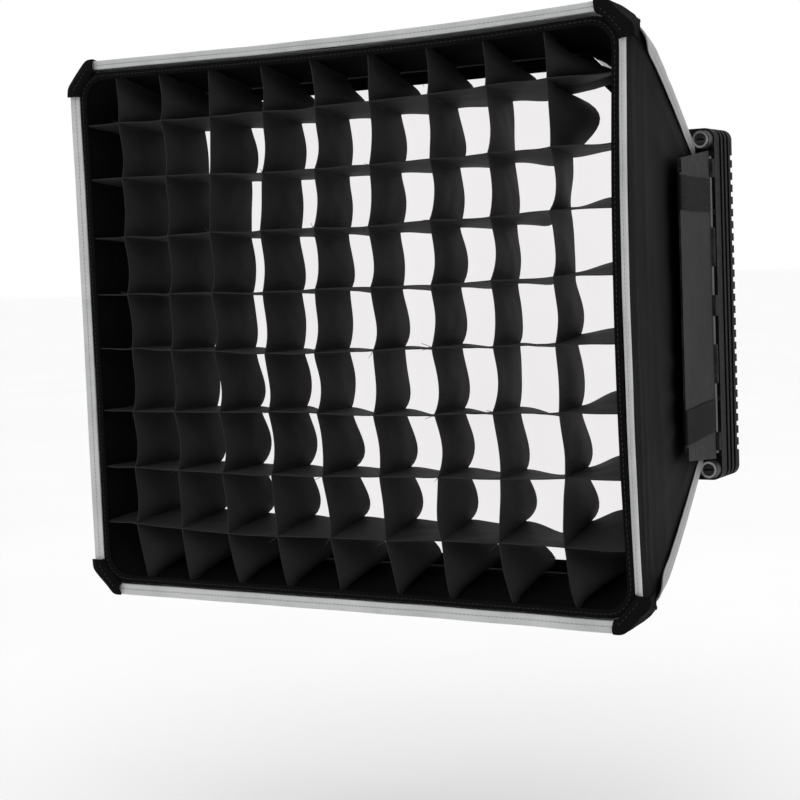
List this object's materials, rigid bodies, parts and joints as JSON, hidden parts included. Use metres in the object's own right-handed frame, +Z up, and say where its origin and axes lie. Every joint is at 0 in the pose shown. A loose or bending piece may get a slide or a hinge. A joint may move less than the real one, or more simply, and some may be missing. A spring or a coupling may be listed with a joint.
{
  "type": "panel light softbox",
  "caption": "Rectangular pyramid softbox with a fabric egg-crate grid, front diffuser, spring rods and a hinged-leaf rear adapter that clamps round a flat panel light.",
  "frame": {"origin": "centre of the seat plane that the light's front bezel rests on, at the back of the adapter plate", "axes": "+Y points back towards the light and out of its bay, the box opens towards -Y, +X is to the right seen from the front, +Z is up"},
  "size_m": [0.464, 0.3004, 0.408],
  "materials": {
    "shell_cloth": "coated woven black cloth, faint sheen",
    "pocket_cloth": "heavy black woven cloth, stitched",
    "hem_cloth": "black woven hem, stitched",
    "grid_cloth": "matt black cloth",
    "loop_tape": "black hook and loop tape",
    "webbing": "black woven webbing",
    "silver_tape": "silver-grey woven tape",
    "lining_cloth": "silver coated cloth",
    "diffusion_cloth": "white translucent cloth",
    "adapter_metal": "black anodised, satin",
    "leaf_metal": "dark grey powder coat",
    "moulded_plastic": "black moulded, fine texture",
    "foam_rubber": "black closed-cell foam",
    "rod_steel": "spring steel",
    "bright_steel": "polished",
    "screw_steel": "black oxide"
  },
  "bodies": {
    "root": {"adapter_plate": "adapter_metal", "adapter_ring": "adapter_metal", "adapter_screws": "screw_steel", "corner_pockets": "pocket_cloth", "corner_seam_tapes": "silver_tape", "diffuser_loop_tapes": "loop_tape", "hinge_lugs": "adapter_metal", "hinge_pin_bottom": "rod_steel", "hinge_pin_left": "rod_steel", "hinge_pin_right": "rod_steel", "hinge_pin_top": "rod_steel", "rear_collar": "shell_cloth", "rim_bindings": "silver_tape", "rod_sockets": "moulded_plastic", "rod_tip_caps": "moulded_plastic", "seat_pad": "foam_rubber", "shell_panel_bottom": "shell_cloth", "shell_panel_left": "shell_cloth", "shell_panel_right": "shell_cloth", "shell_panel_top": "shell_cloth", "silver_lining": "lining_cloth", "spring_rods": "rod_steel"},
    "diffuser": {"diffuser_sheet": "diffusion_cloth", "diffuser_hem": "hem_cloth"},
    "grid": {"grid_cross_walls": "grid_cloth", "grid_upright_walls": "grid_cloth", "grid_hem": "hem_cloth", "grid_skirts": "grid_cloth", "grid_hook_tapes": "loop_tape"},
    "leaf_right_body": {"leaf_right": "leaf_metal", "straps_right": "webbing"},
    "leaf_left_body": {"leaf_left": "leaf_metal", "straps_left": "webbing"},
    "leaf_top_body": {"leaf_top": "leaf_metal", "straps_top": "webbing"},
    "leaf_bottom_body": {"leaf_bottom": "leaf_metal", "straps_bottom": "webbing"},
    "latch_top_right_body": {"latch_knob_top_right": "moulded_plastic", "latch_ring_top_right": "bright_steel", "latch_shaft_top_right": "rod_steel", "latch_dog_top_right": "adapter_metal"},
    "latch_top_left_body": {"latch_knob_top_left": "moulded_plastic", "latch_ring_top_left": "bright_steel", "latch_shaft_top_left": "rod_steel", "latch_dog_top_left": "adapter_metal"},
    "latch_bottom_right_body": {"latch_knob_bottom_right": "moulded_plastic", "latch_ring_bottom_right": "bright_steel", "latch_shaft_bottom_right": "rod_steel", "latch_dog_bottom_right": "adapter_metal"},
    "latch_bottom_left_body": {"latch_knob_bottom_left": "moulded_plastic", "latch_ring_bottom_left": "bright_steel", "latch_shaft_bottom_left": "rod_steel", "latch_dog_bottom_left": "adapter_metal"}
  },
  "joints": [
    {"name": "diffuser_lift_off", "type": "slide", "parent": "root", "child": "diffuser", "axis": [0, -1, 0], "range_m": [0, 0.08]},
    {"name": "grid_lift_off", "type": "slide", "parent": "diffuser", "child": "grid", "axis": [0, -1, 0], "range_m": [0, 0.08]},
    {"name": "leaf_right_hinge", "type": "hinge", "parent": "root", "child": "leaf_right_body", "pos_m": [0.184, -0.009, 0], "axis": [0, 0, 1], "range_deg": [0, 75]},
    {"name": "leaf_left_hinge", "type": "hinge", "parent": "root", "child": "leaf_left_body", "pos_m": [-0.184, -0.009, 0], "axis": [0, 0, -1], "range_deg": [0, 75]},
    {"name": "leaf_top_hinge", "type": "hinge", "parent": "root", "child": "leaf_top_body", "pos_m": [0, -0.009, 0.133], "axis": [-1, 0, 0], "range_deg": [0, 75]},
    {"name": "leaf_bottom_hinge", "type": "hinge", "parent": "root", "child": "leaf_bottom_body", "pos_m": [0, -0.009, -0.133], "axis": [1, 0, 0], "range_deg": [0, 75]},
    {"name": "latch_top_right_turn", "type": "hinge", "parent": "root", "child": "latch_top_right_body", "pos_m": [0.179, 0, 0.127], "axis": [0, 1, 0], "range_deg": [0, 90]},
    {"name": "latch_top_left_turn", "type": "hinge", "parent": "root", "child": "latch_top_left_body", "pos_m": [-0.179, 0, 0.127], "axis": [0, -1, 0], "range_deg": [0, 90]},
    {"name": "latch_bottom_right_turn", "type": "hinge", "parent": "root", "child": "latch_bottom_right_body", "pos_m": [0.179, 0, -0.127], "axis": [0, -1, 0], "range_deg": [0, 90]},
    {"name": "latch_bottom_left_turn", "type": "hinge", "parent": "root", "child": "latch_bottom_left_body", "pos_m": [-0.179, 0, -0.127], "axis": [0, 1, 0], "range_deg": [0, 90]}
  ]
}
